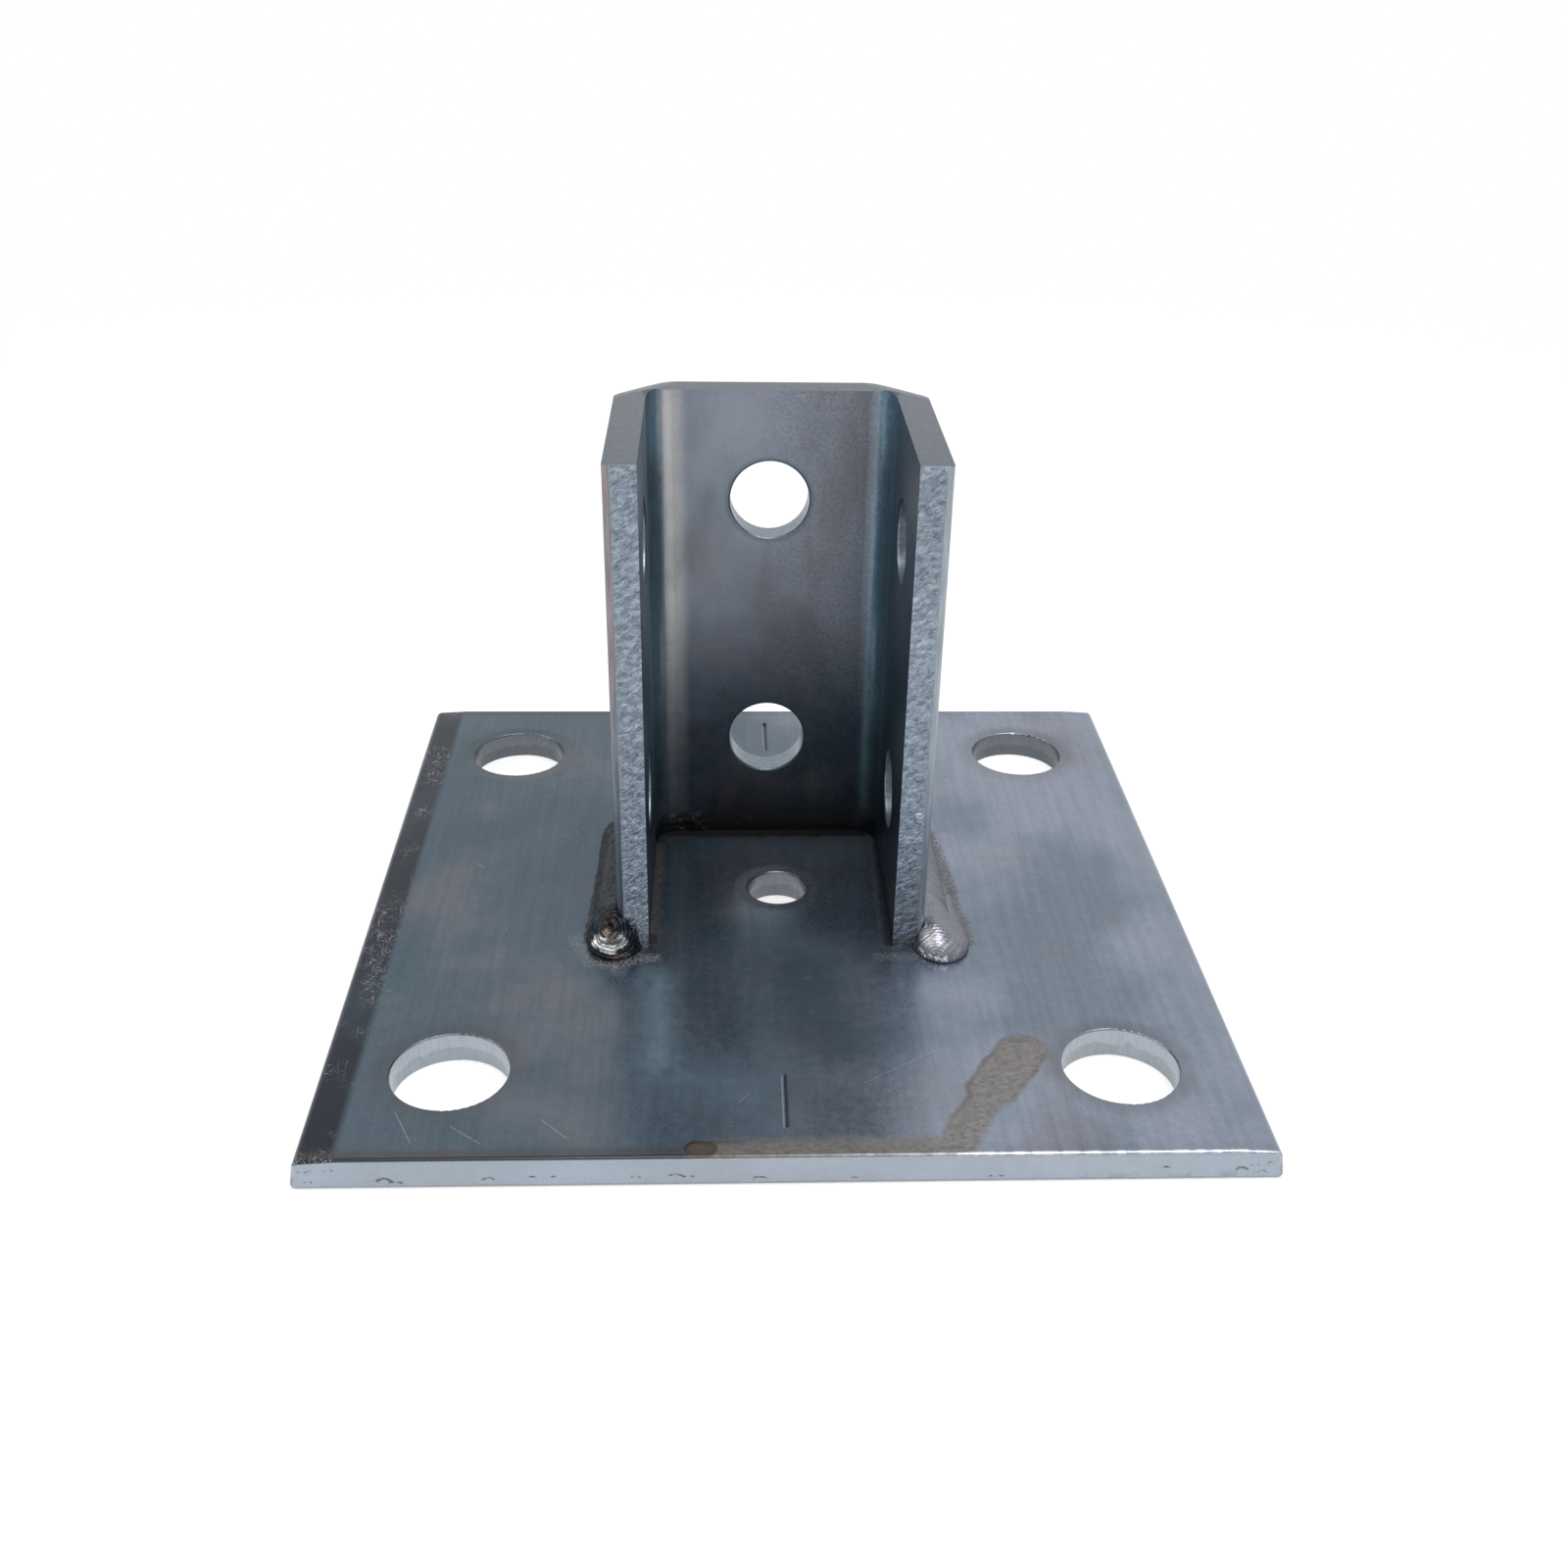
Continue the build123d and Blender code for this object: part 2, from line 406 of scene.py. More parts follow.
def scratch_group(name):
    """Thin broken scratches that run one way across a face. Millimetres."""
    g, given = new_group(name, {"Turn": 0, "Spacing": 1, "Length": 12, "Amount": 0.3}, ("Mask",))
    parts = g.split(g.turned(given["Place"], given["Turn"], "Z_AXIS"))
    lines = g.joined(g.math("DIVIDE", parts[0], given["Length"]), g.math("DIVIDE", parts[1], given["Spacing"]),
                     g.math("DIVIDE", parts[2], given["Spacing"]))
    streak = g.noise(lines, 1, 2, 0.5)
    patches = g.noise(given["Place"], 0.09, 2)
    edge = g.times_add(given["Amount"], -0.2, 0.78)
    mask = g.times(g.step(streak, edge, g.math("ADD", edge, 0.05)), g.step(patches, 0.42, 0.6))
    g.add("NodeGroupOutput", {"Mask": mask})
    return g.tree


def grain_group(name):
    """Fine pickled grain of plated steel: its height, its mottle and its slow clouds. Millimetres."""
    g, given = new_group(name, {"Grain": 2.2, "Stretch": 1}, ("Height", "Mottle", "Cloud"))
    parts = g.split(given["Place"])
    drawn = g.joined(parts[0], g.times(parts[1], given["Stretch"]), parts[2])
    fine = g.noise(drawn, given["Grain"], 4, 0.62)
    coarse = g.noise(given["Place"], 0.55, 3, 0.6)
    g.add("NodeGroupOutput", {
        "Height": g.times_add(coarse, 0.6, fine),
        "Mottle": g.math("ADD", g.times(fine, 0.6), g.times(coarse, 0.4)),
        "Cloud": g.noise(given["Place"], 0.035, 3, 0.5, distortion=0.4)})
    return g.tree


EFFECTS = {"Patch": patch_group, "Scratches": scratch_group, "Plated grain": grain_group}


class Finish(Graph):
    """The tree of a new material, its colour so far, its grain, and its place on the part in millimetres."""

    def __init__(self, name, grain, stretch=1):
        self.base = None
        self.material = bpy.data.materials.new(name)
        self.material.use_nodes = True
        super().__init__(self.material.node_tree)
        self.place = self.scaled(self.add("TexCoord").outputs["Object"], 1000)
        self.grain = self.effect("Plated grain", {"Grain": grain, "Stretch": stretch})

    def effect(self, name, values):
        """One of the effects that the materials share."""
        tree = bpy.data.node_groups.get(name) or EFFECTS[name](name)
        return self.add("Group", {"Place": self.place, **values}, node_tree=tree).outputs

    def patch(self, start, end, radius, softness=0.5, wobble=0, scale=0.4):
        return self.effect("Patch", {
            "From": start, "To": end, "Radius": radius, "Softness": softness,
            "Wobble": wobble, "Wobble Scale": scale})

    def scratches(self, kinds):
        """Mask of several kinds of scratches, each given by turn, spacing, length and amount."""
        marks = 0
        for turn, spacing, run, amount in kinds:
            marks = self.highest(marks, self.effect("Scratches", {
                "Turn": turn, "Spacing": spacing, "Length": run, "Amount": amount})["Mask"])
        return marks

    def spots(self, scale, *details, **more):
        return self.noise(self.place, scale, *details, **more)

    def mottled(self, low, high):
        return self.vary(self.grain["Mottle"], low, high)

    def lay(self, tint, *masks):
        """Lays a colour on, as far as all the masks allow."""
        self.base = self.mix(self.times(*masks), self.base, tint)

    def shade(self, scale):
        self.base = self.scaled(self.base, scale)

    def tint(self, low, high, cloud=None):
        """Varies the colour by the grain and by slow clouds."""
        cloud = self.grain["Cloud"] if cloud is None else cloud
        self.shade(self.times(self.mottled(low, high), self.vary(cloud, 0.93, 1.07)))

    def cloud(self, steel, cool, warm):
        """Teal and rose tints of the plating in slow clouds."""
        first = self.spots(0.028, 3, 0.55)
        second = self.noise(self.vector("ADD", self.place, (40, 70, 10)), 0.04, 3, 0.6)
        self.lay(steel.teal, self.step(first, 0.42, 0.66, 0, cool))
        self.lay(steel.rose, self.step(second, 0.5, 0.68, 0, warm))

    def films(self, marks):
        """Lays dull films on: start, end, radius, softness, wobble, amount, speckle and tint of each."""
        dull = 0
        for start, end, radius, softness, wobble, amount, speckle, tint in marks:
            inside = self.patch(start, end, radius, softness, wobble)["Mask"]
            if speckle:
                dots = self.spots(2, 4, 0.75)
                ragged = self.step(self.swayed(self.times(inside, 0.8), dots, 8 * speckle), 0.35, 0.8)
                inside = self.times(ragged, self.step(inside, 0.02, 0.3))
            mask = self.times(inside, amount)
            self.lay(tint, mask)
            dull = self.highest(dull, mask)
        return dull

    def facing(self):
        """The way the surface faces, as three numbers."""
        return self.split(self.add("NewGeometry").outputs["Normal"])

    def finish(self, roughness, relief, metallic):
        """Ends the material in its shader, with a relief in millimetres as its bump."""
        bump = self.add("Bump", {"Height": relief, "Distance": MM, "Strength": 1})
        shader = self.add("BsdfPrincipled", {
            "Base Color": self.base, "Roughness": roughness, "Metallic": metallic, "Normal": bump.outputs[0]})
        self.add("OutputMaterial", {"Surface": shader.outputs[0]})
        return self.material


def plate_material(steel):
    g = Finish("plated_plate", 3.4, 0.7)
    x, y, z = g.split(g.place)[:3]
    cloud = g.grain["Cloud"]
    # Painted reflection: the plate's right half lighter than its left, with a wavering border
    g.base = g.mix(g.step(g.swayed(x, cloud, 40), -22, 34), steel.plate_left, steel.plate_right)
    g.cloud(steel, 0.4, 0.28)
    rolled = g.spots(0.7, 3, 0.6, stretch=(1, 0.05, 1))
    g.tint(0.92, 1.08, rolled)

    # The rolled borders: dark and scratched at the left, a little paler at the right; the dark and the paler
    # tone are painted shade and painted reflection on the bevels, the scratches are real
    margin = g.times(g.fall(x, -69.5, -67.9), g.step(cloud, 0.3, 0.6, 0.75, 1))
    g.lay(steel.plate_margin, margin, 0.95)
    g.lay(steel.plate_right, g.step(x, 68.4, 69.2), 0.25)

    # Draw-in round each hole, with a brown ring of painted shade at its rim
    top = plate_top / MM
    dish = 0
    ring = 0
    for hole_x, hole_y, radius in PLATE_HOLES:
        away = g.patch((hole_x, hole_y, top), (hole_x, hole_y, top), radius)["Distance"]
        dish = g.highest(dish, g.fall(away, 0, 3))
        ring = g.highest(ring, g.fall(away, 0.6, 4.5))
    g.lay(steel.brown, ring, 0.3)

    # Drawn-in front and back edges: brown behind, a painted highlight on the right of the round where the edge
    # rolls over, darker on the round towards the left
    end = g.size(y)
    g.lay(steel.brown, g.step(end, 71.8, 73.6), g.step(x, -30, 10, 0.55, 0.1))
    g.lay(ROLLED_OVER, g.step(end, 74.2, 74.5), g.step(x, -8, 34), g.step(rolled, 0.4, 0.6, 0.1, 0.7))
    g.lay(steel.plate_margin, g.step(end, 74.2, 74.4), g.step(x, -12, 12, 0.85, 0))

    # Films beside the beads, inside the channel, and dust in front of the beads, with some rows of painted
    # reflection and painted shade
    dull = g.films([((*start, top), (*end, top), *rest) for start, end, *rest in (
        # Painted reflection of the post in the plate, in front of the channel
        ((3, -28), (7, -48), 9.5, 7.5, 8.5, 0.8, 0, steel.shadow),
        ((-12, 16), (12, 14), 5, 5, 4, 0.3, 0, steel.teal),
        # Painted reflection: light streaks within the post's reflection
        ((-21.5, -29), (-20.5, -52), 2.4, 4, 5.5, 0.5, 0, steel.streak),
        ((-16, -56), (-6, -60), 5, 10, 8, 0.28, 0, steel.streak),
        ((31, 20), (32.9, -2), 1.3, 0.9, 1.2, 0.85, 0.6, steel.brown),
        ((32.9, -2), (34, -19), 1, 0.9, 1.2, 0.8, 0.6, steel.brown),
        # Painted shade: thin dark line along the left bead's toe
        ((-33.4, 22), (-34.9, -18), 0.5, 0.4, 1.2, 0.85, 0.2, steel.soot),
        ((-38, 12), (-37.5, -2), 1.2, 1.6, 3, 0.4, 1.6, steel.brown),
        # Soot and painted shade in the channel's inner corners, along the feet of the web and legs
        ((-21, 20.2), (17.5, 20.2), 1.9, 1, 1.4, 0.97, 0, steel.soot),
        ((20.4, 20), (19.6, -19), 1.3, 1, 1.4, 0.9, 0, steel.soot),
        ((-22.2, 17.5), (-22.9, -18), 1, 0.5, 1.2, 0.85, 0, steel.soot),
        ((-22.4, 15.5), (-22.8, -15), 0.7, 0.5, 1.6, 0.55, 1.4, steel.rust),
        ((-36.8, -17), (-33.4, -24.4), 0.9, 1.4, 2.2, 0.35, 1.4, steel.dust),
        ((-33, -24.6), (-29, -25.4), 0.6, 0.8, 2.2, 0.6, 1.4, steel.dust),
        ((-29, -24.8), (-22.5, -22.8), 0.8, 1.2, 3, 0.6, 1.5, steel.dust),
        ((17.5, -23), (24.5, -22.8), 0.8, 1.4, 2.4, 0.35, 1.4, steel.dust),
        ((-44, -62), (-33, -66), 3, 8, 6, 0.3, 0, steel.rose))])

    # Dried film along the front edge and up towards the right front hole
    film = 0
    rim = 1000
    for start, end, radius, softness in (
            ((-14.4, -73.2), (-13, -73.2), 1.7, 0.3), ((-12, -73.4), (24, -72.9), 2.1, 1.6),
            ((25.4, -71.8), (31.4, -61), 2.9, 0.8), ((32.2, -60), (38.6, -50), 4.2, 0.6)):
        marked = g.patch((*start, top), (*end, top), radius, softness, 1.6, 0.22)
        film = g.highest(film, marked["Mask"])
        rim = g.math("MINIMUM", rim, marked["Distance"])
    on_rim = g.fall(g.size(g.math("ADD", rim, 0.3)), 0, 0.7)
    streaks = g.spots(1.4, 5, 0.75, stretch=(0.7, 1, 1))
    mud = g.scaled(steel.stain, g.step(streaks, 0.35, 0.65, 0.7, 1.25))
    g.lay(mud, film, g.step(streaks, 0.25, 0.6, 0.92, 0.72))
    g.lay(steel.stain_edge, on_rim, g.step(cloud, 0.4, 0.6, 0.5, 0.05))
    low_side = g.step(g.times_add(x, -0.35, y), -86.5, -81, 1, 0)
    dots = g.step(g.spots(1.8, 3, stretch=(0.6, 1, 1)), 0.47, 0.55)
    g.lay(steel.stain_edge, film, low_side, dots, 0.8)
    oval = g.patch((-14.6, -73.1, top), (-13, -73.1, top), 1.35, 0.5, 0.5, 0.5)["Distance"]
    g.lay(steel.stain_edge, g.step(oval, -0.2, 0.5, 0.75, 0))
    g.lay(steel.stain_edge, g.fall(g.size(oval), 0.15, 0.6), 0.85)

    # Scratches, many short ones on the left border and in a spot at the right
    marks = g.scratches(((1.25, 0.25, 5, 0.25), (-0.5, 0.22, 4, 0.2), (0.3, 0.2, 3, 0.1)))
    ticks = g.scratches(
        ((0.6, 0.2, 2.6, 0.75), (-0.8, 0.2, 2.2, 0.7), (1.5, 0.18, 4, 0.7), (0.1, 0.2, 1.8, 0.6)))
    for start, end in (
            ((-52, -67.5), (-47, -71.5)), ((-38.5, -66), (-34, -70.5)), ((-72.6, -38), (-70, -35.5)),
            ((-8, -62.5), (-6.5, -60.5)), ((12, -58), (24, -50)), ((-57.5, 9), (-56, 7.6)),
            ((-61, -64), (-57.6, -71))):
        one = g.patch((*start, top), (*end, top), 0.07, 0.06, 0.25, 1.5)["Mask"]
        marks = g.highest(marks, g.times(one, 0.6))
    g.lay(steel.scratch, marks, 0.5)
    g.lay(steel.scratch, ticks, margin, 0.6)
    spot = g.patch((46.6, 5.6, top), (50.4, 5.8, top), 2.3, 0.9, 3, 0.6)["Mask"]
    g.lay(steel.left_bend, ticks, spot, 0.85)

    # Punched walls: a bright sheared band over a rougher torn one; the walls' pale tone is a painted
    # reflection, fuller in the front holes than in the back ones
    faces = g.facing()
    fine = g.spots(1.6, 3, stretch=(1, 1, 0.18))
    border = g.swayed(z, g.spots(0.5, 3), 2.4)
    pale = g.scaled(steel.hole_wall, g.times(
        g.step(border, 2.4, 2.9, 0.84, 1.04), g.step(y, -20, 20, 1, 0.4), g.vary(fine, 0.93, 1.05)))
    g.lay(pale, g.fall(g.size(faces[2]), 0.25, 0.7))

    # The scribed marks: painted shade on the right flank, painted highlight on the left flank
    for way in (-1, 1):
        groove = g.patch((-0.7, way * 56, top), (-0.7, way * 68, top), 0.55, 0.05)["Mask"]
        g.lay(steel.soot, groove, g.fall(faces[0], -0.3, -0.1), 0.7)
        g.lay(steel.scratch, groove, g.step(faces[0], 0.1, 0.3), 0.35)

    dull = g.highest(dull, g.times(film, 0.7))
    roughness = g.times_add(dull, 0.25, g.mottled(steel.roughness - 0.05, steel.roughness + 0.07))
    relief = g.times_add(dish, -0.16, g.times(g.grain["Height"], 0.004))
    return g.finish(roughness, relief, g.times_add(dull, -0.5, steel.metallic))


def post_material(steel):
    g = Finish("plated_post", 2.6)
    x, y, z = g.split(g.place)[:3]
    faces = g.facing()
    sideways = g.size(faces[0])
    # Painted shade: the web darker towards its foot
    g.base = g.mix(g.step(g.swayed(z, g.grain["Cloud"], 36), 8, 78), steel.web_lower, steel.web_upper)

    # The web's left is paler than its right, and the legs are darker inside as painted shade and reflection
    g.shade(g.step(x, -20, 16, 1.22, 0.86))
    low, high, web, bend = leg_left / MM, leg_right / MM, web_inner / MM, inner_bend / MM
    inside = g.times(g.step(x, low - 0.8, low - 0.2), g.fall(x, high + 0.2, high + 0.8),
                     g.fall(y, web + 0.4, web + 1.4))
    leg = g.mix(inside, steel.leg_outer, steel.leg_inner)
    g.lay(leg, g.step(sideways, 0.5, 0.95))

    # Inner bends: a painted highlight down the left one, teal painted reflection down the right one, also near
    # the left bend and on the web
    turning = g.times(inside, g.step(y, 14.5, 16.5))
    left = g.times(turning, g.fall(g.size(g.less(x, low + 0.85 * bend)), 0.9, 3.6))
    right = g.times(turning, g.step(x, high - 0.85 * bend, high - 0.45 * bend))
    g.lay(steel.left_bend, left, g.step(z, 12, 55, 0.2, 0.65))
    g.lay(steel.right_bend, right, 0.9)
    deep_left = g.times(inside, g.step(y, 4, 14), g.fall(x, low + 1.4, low + 3))
    g.lay(steel.right_bend, deep_left, g.step(z, 10, 40, 0.3, 0.85))
    near = g.times(inside, g.step(y, 6, 15), g.step(x, 8, 12))
    g.lay(steel.right_bend, near, g.step(sideways, 0.3, 0.7), 0.35)
    g.cloud(steel, 0.35, 0.3)
    # Painted shade low on the web inside the channel, deeper away from the left leg
    low_web = g.times(g.fall(z, 7, 32), inside)
    g.shade(g.times_add(low_web, g.step(x, -18, -8, -0.12, -0.62), 1))

    # Grain, coarser on the right half of the web
    coarse = g.spots(2.2, 3, 0.7, stretch=(0.7, 1, 1.2))
    g.shade(g.vary(g.swayed(0.5, coarse, g.step(x, -8, 6)), 0.82, 1.18))
    g.tint(0.88, 1.12)

    # Brown film in slow vertical streaks on the web
    streak = g.spots(0.10, 3, stretch=(1, 1, 0.35))
    g.lay(steel.rust, g.step(streak, 0.50, 0.66, 0, 0.35))

    # Sheared top, darker as painted shade, and the pale rounds beside the leg fronts as a painted highlight
    g.lay(steel.post_top, g.step(faces[2], 0.35, 0.8))
    legs_y = post_low.y / MM
    front = g.times(g.fall(y, legs_y + 0.9, legs_y + 1.5), g.fall(faces[2], 0.3, 0.7))
    edge = g.mix(g.step(sideways, 0.8, 0.96), steel.dust, steel.rust)
    left_round = g.mix(g.step(z, 35, 70), steel.leg_outer, edge)
    pale = g.mix(g.step(x, -10, 10), left_round, steel.front_round)
    lines = g.spots(3, 2, stretch=(1, 1, 0.04))
    pale = g.scaled(pale, g.vary(lines, 0.8, 1.15))
    g.lay(pale, front, g.less(1, inside))

    # Soot and painted shade at the foot, beside the plate
    foot = g.times(g.step(g.swayed(z, g.spots(0.45, 3), 4), 7.2, 14, 0.97, 0), inside)
    g.lay(steel.soot, foot)

    # Punched walls of the bolt holes
    bare = g.scaled(steel.bore_wall, g.vary(g.spots(1.5, 3), 0.8, 1.12))
    walls = 0
    rims = 0
    for height in BOLT_HEIGHTS:
        for x1, y1, x2, y2 in ((post_middle / MM, 19, post_middle / MM, 29),
                               (-31, BOLTS_Y, -21, BOLTS_Y), (17, BOLTS_Y, 28, BOLTS_Y)):
            line = (x1, y1, height), (x2, y2, height)
            walls = g.highest(walls, g.patch(*line, BOLT_RADIUS + 0.1, 0.08)["Mask"])
            away = g.patch(*line, BOLT_RADIUS + 0.45)["Distance"]
            rims = g.highest(rims, g.fall(g.size(away), 0.1, 0.8))
    # Painted shade on the round rims of the bolt holes
    g.lay(steel.teal, rims, 0.35)
    g.lay(bare, walls)

    marks = g.scratches([(0.4, 0.25, 3, 0.3)])
    g.lay(steel.scratch, marks, 0.35)
    relief = g.times_add(coarse, 0.012, g.times_add(g.grain["Height"], 0.016, g.times(marks, -0.015)))
    metallic = g.times_add(foot, -0.5, steel.metallic)
    return g.finish(g.mottled(steel.roughness, steel.roughness + 0.12), relief, metallic)


def torn_material(steel):
    """Torn leg fronts: slanting ragged metal, with painted highlights on its crests and painted shade in its
    hollows.
    """
    g = Finish("torn_front", 3.2)
    x, _, z = g.split(g.place)[:3]
    turned = g.turned(g.place, 0.6, "Y_AXIS")
    fine = g.noise(turned, 2.6, 3, 0.7, stretch=(0.4, 1, 1))
    coarse = g.noise(turned, 1, 5, 0.78, stretch=(0.5, 1, 1), distortion=0.4)
    ragged = g.times_add(g.times(g.step(z, 22, 55), 0.6), g.less(coarse, fine), fine)
    # Painted shade in the hollows and a painted highlight on the crests of the ragged metal
    g.base = g.mix(g.step(ragged, 0.36, 0.54), steel.torn_dark, steel.torn)
    g.lay(steel.scratch, g.step(ragged, 0.53, 0.63, 0, 0.85))
    crack = g.fall(g.size(g.less(coarse, 0.45)), 0, 0.012)
    g.lay(steel.plate_margin, crack, g.step(z, 22, 55, 0.15, 0.6))
    g.tint(0.9, 1.1)
    burnished = g.step(g.size(g.less(x, post_middle / MM)), 25.2, 26)
    g.lay(steel.front_round, burnished, 0.75)
    # Painted reflection and shade: lighter low on the left front, darker low on the right front and darker
    # towards the top
    g.shade(g.times(
        g.step(z, 8, 34, g.step(x, -5, 5, 1.15, 0.54), 1.05),
        g.step(z, 55, 92, 1, g.step(x, -5, 5, 0.88, 0.8))))
    drop = g.patch((23.4, -20, 31.6), (23.4, -20, 32.2), 0.75, 0.25, 0.4, 0.8)["Mask"]
    g.lay(steel.scratch, drop, 0.6)
    g.lay(steel.brown, g.step(z, 6, 9, 0.85, 0), g.step(g.spots(0.8, 3), 0.35, 0.6, 0.5, 1))
    # Painted glints along the top edge of the leg fronts
    g.lay(steel.scratch, g.step(z, 93.4, 94.1), g.step(g.spots(1.3, 3), 0.5, 0.58))
    relief = g.times_add(ragged, g.step(z, 25, 60, 0.3, 0.5), g.times(drop, 0.25))
    return g.finish(g.mottled(0.3, 0.5), relief, steel.metallic)


def sheared_material(steel):
    """Smooth sheared ends of the plate, pale as a painted reflection, with painted shade in the torn arcs."""
    g = Finish("sheared_end", 3)
    x, y, z = g.split(g.place)[:3]
    g.base = steel.sheared
    g.tint(0.9, 1.06)
    # Painted shade in the torn arcs, where the end lies deeper
    g.lay(steel.plate_margin, g.step(g.size(y), 74.72, 74.9, 0.65, 0))
    patchy = g.spots(0.5, 4, 0.65)
    g.lay(steel.plate_right, g.fall(z, 0.3, 2.4), g.step(x, 20, 60, 0.2, 0.7),
          g.step(patchy, 0.5, 0.62))
    relief = g.times_add(g.grain["Height"], 0.015, g.times(patchy, 0.05))
    return g.finish(g.mottled(0.38, 0.5), relief, steel.metallic)


def weld_material(name, steel, tint, rings, marks):
    """Weld metal. rings are the fine arcs' middle, pitch and height. marks are films over it."""
    g = Finish(name, 2.8)
    middle, pitch, height = rings
    away = g.times_add(g.spots(0.3, 2), 1.2, g.vector("DISTANCE", g.place, middle))
    wave = g.math("SINE", g.times(away, 2 * math.pi / pitch))
    g.base = tint
    g.tint(0.8, 1.2)
    # The arcs are painted lighter on their crests and darker in their troughs: painted highlight and shade
    g.shade(g.step(wave, -1, 1, 0.87, 1.12))
    dull = g.films(marks)
    relief = g.times_add(wave, height, g.times(g.grain["Height"], 0.03))
    metallic = g.times_add(dull, -0.25, steel.metallic)
    return g.finish(g.times_add(dull, 0.1, g.mottled(0.26, 0.42)), relief, metallic)


# The pieces

FRONT_CHIPS = (
    (-73.2, 3.1, 0.8, 0.3), (-71.9, 3.3, 0.7, 0.25), (-69.4, 3.5, 0.8, 0.2), (-72.4, 1.2, 0.6, 0.3),
    (-61.2, 0.9, 1.3, 1), (-59.6, 0.6, 1.2, 0.7), (-45.7, 1.1, 1, 0.8), (-37.5, 1.8, 2, 0.3),
    (-23.6, 1.4, 0.7, 0.5), (-17.6, 1.5, 1.2, 0.7), (-15.8, 1.3, 1, 0.5), (-4.8, 0.9, 1.1, 0.6),
    (9.5, 0.8, 1.6, 0.3), (31, 0.9, 1.2, 0.35), (57, 2.2, 0.9, 0.3), (68.7, 1.4, 1, 0.9),
    (70.6, 2.5, 0.7, 0.4), (71.9, 1, 0.8, 0.6), (73, 2.9, 0.5, 0.4))


def chips(seed, low, high):
    """Small arcs torn out low on a sheared end: middle, height, half width and rise of each, in millimetres."""
    rng = random.Random(seed)
    found = []
    at = low
    while at < high:
        at += rng.uniform(3, 16)
        found.append((at, rng.uniform(0.4, 2.6), rng.uniform(0.7, 1.6), rng.uniform(0.3, 0.9)))
    return found


class BuildPlate(bpy.types.Operator):
    """Base plate with torn, chipped ends, in place of the plain plate"""
    bl_idname = "post_base.plate"
    bl_label = "Base plate"

    def execute(self, context):
        tear = context.scene.post_base_tear
        bm = merged_copy("base_plate")
        fine = []
        for end, way, arcs in (
                (plate_low.y, 1, FRONT_CHIPS),
                (plate_high.y, -1, chips(9, plate_low.x / MM, plate_high.x / MM))):
            faces = slice_evenly(bm, flat_end(bm, Y, end), X, plate_low.x, plate_high.x, tear.pitch * 1.1)
            faces = slice_evenly(bm, faces, Z, plate_low.z, plate_top, tear.pitch)
            for vert in verts_of(faces):
                place = vert.co / MM
                depth = 0.03 * (1 + rough(Vector((place.x / 3, way, place.z)), 1.1))
                warp = 0.14 * rough(place, 1.1, 2)
                for middle, height, half, rise in arcs:
                    if place.z > height - 0.2 and abs(place.x - middle) < 2 * half:
                        away = math.hypot((place.x - middle) / half, (place.z - height) / rise) + warp
                        upper = smooth_step(-0.1, 0.5, (place.z - height) / rise)
                        depth += upper * tear.chip_depth / MM * math.exp(-((away - 0.9) / 0.2) ** 2)
                vert.co.y += way * min(max(depth, 0), 0.5) * MM
            fine += faces
        steel = context.scene.post_base_steel
        piece = finish_mesh(bm, "plate", fine, [plate_material(steel), sheared_material(steel)])
        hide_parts("base_plate")
        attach(piece, "root")
        return {"FINISHED"}


def leg_tear(place, outer, tear):
    """How deep a leg's front is torn at a point: smooth beside the outer face, ragged beside the inner one."""
    across = abs(place.x - outer)
    along, over = 0.84 * place.x + 0.54 * place.z, 0.84 * place.z - 0.54 * place.x
    high = smooth_step(20 * MM, 50 * MM, place.z)
    drawn = Vector((along * (0.3 + 0.25 * high), place.y, over))
    ragged = rough(drawn, (0.55 + 0.35 * high) * MM, 4) * 0.55 + rough(place, 2.2 * MM, 2) * 0.3
    lumps = noise.noise(place / (0.5 * MM)) * 0.12
    torn = smooth_step(tear.burnish * 0.8, tear.burnish * 1.25, across)
    even = 0.05 * (1 + noise.noise(place / (1.5 * MM)))
    return tear.depth * (torn * (0.45 + ragged + lumps) + (1 - torn) * even)


